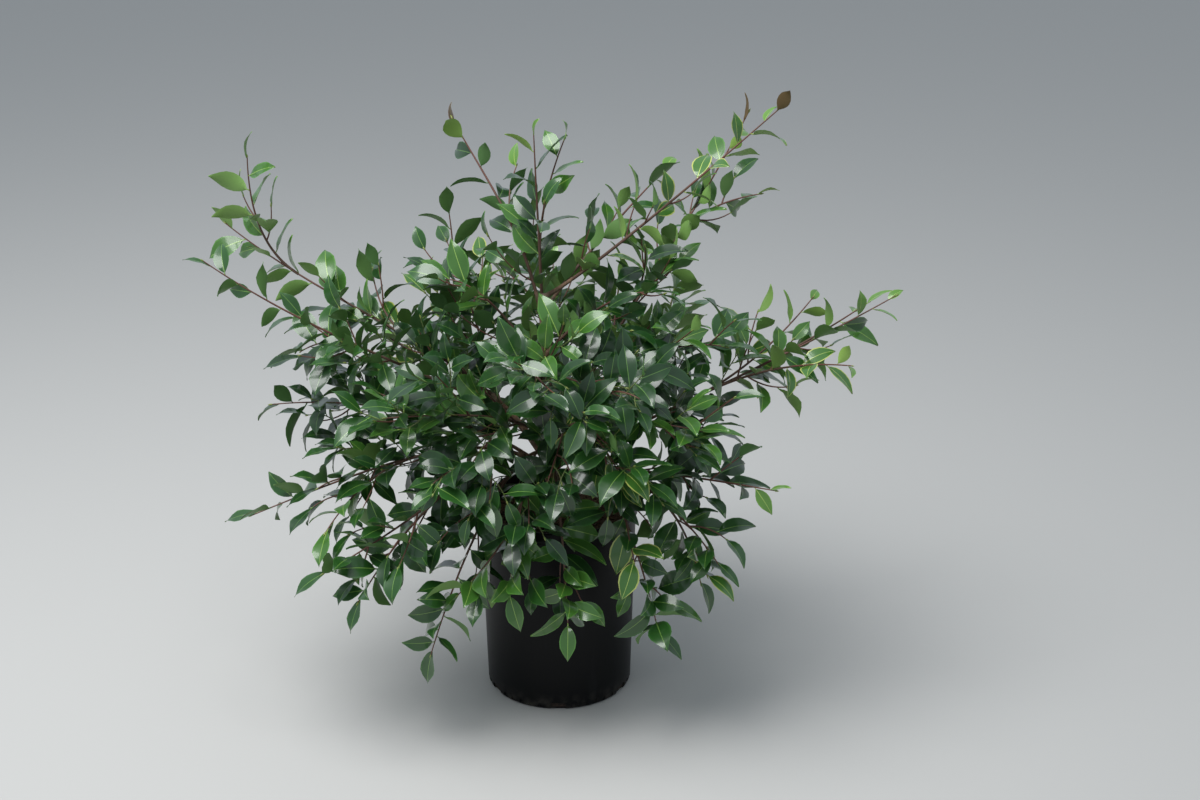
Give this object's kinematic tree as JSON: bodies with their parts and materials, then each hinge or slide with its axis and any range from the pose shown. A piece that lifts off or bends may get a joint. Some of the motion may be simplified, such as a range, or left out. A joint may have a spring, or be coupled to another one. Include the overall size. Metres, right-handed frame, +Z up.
{
  "type": "potted camellia shrub",
  "caption": "Evergreen camellia shrub: a short trunk whose boughs fan out into arching leafy shoots, standing in the tapered round nursery pot that it grows in.",
  "frame": {"origin": "centre of the pot's flat underside", "axes": "+Z up; +X to the right and +Y to the back as the plant faces its viewer, and the crown is widest along X"},
  "size_m": [1.1353, 0.7148, 0.9857],
  "materials": {
    "pot": "satin",
    "potting_mix": "matte",
    "bark": "matte",
    "foliage": "glossy"
  },
  "bodies": {
    "root": {"pot": "pot", "potting_mix": "potting_mix", "trunk": "bark", "bough_top": "bark", "bough_left_high": "bark", "bough_right_upper": "bark", "bough_right_reach": "bark", "bough_left_reach": "bark", "bough_front_left": "bark", "bough_front_right": "bark", "bough_back_left": "bark", "bough_back_right": "bark", "bough_back": "bark", "bough_right_high": "bark", "bough_back_high": "bark", "bough_top_left": "bark", "bough_crown_left": "bark", "bough_crown_right": "bark", "bough_front_crown": "bark", "bough_left_low": "bark", "bough_left_crown": "bark", "bough_right_shoulder": "bark", "bough_left_middle": "bark", "bough_left_droop": "bark", "bough_right_droop": "bark", "bough_front_right_hang": "bark", "bough_front_hang": "bark", "bough_left_foot": "bark", "bough_back_low": "bark", "bough_front_left_mid": "bark", "bough_front_right_mid": "bark", "leaves_top": "foliage", "leaves_left_high": "foliage", "leaves_right_upper": "foliage", "leaves_right_reach": "foliage", "leaves_left_reach": "foliage", "leaves_front_left": "foliage", "leaves_front_right": "foliage", "leaves_back_left": "foliage", "leaves_back_right": "foliage", "leaves_back": "foliage", "leaves_right_high": "foliage", "leaves_back_high": "foliage", "leaves_top_left": "foliage", "leaves_crown_left": "foliage", "leaves_crown_right": "foliage", "leaves_front_crown": "foliage", "leaves_left_low": "foliage", "leaves_left_crown": "foliage", "leaves_right_shoulder": "foliage", "leaves_left_middle": "foliage", "leaves_left_droop": "foliage", "leaves_right_droop": "foliage", "leaves_front_right_hang": "foliage", "leaves_front_hang": "foliage", "leaves_left_foot": "foliage", "leaves_back_low": "foliage", "leaves_front_left_mid": "foliage", "leaves_front_right_mid": "foliage"}
  },
  "joints": []
}
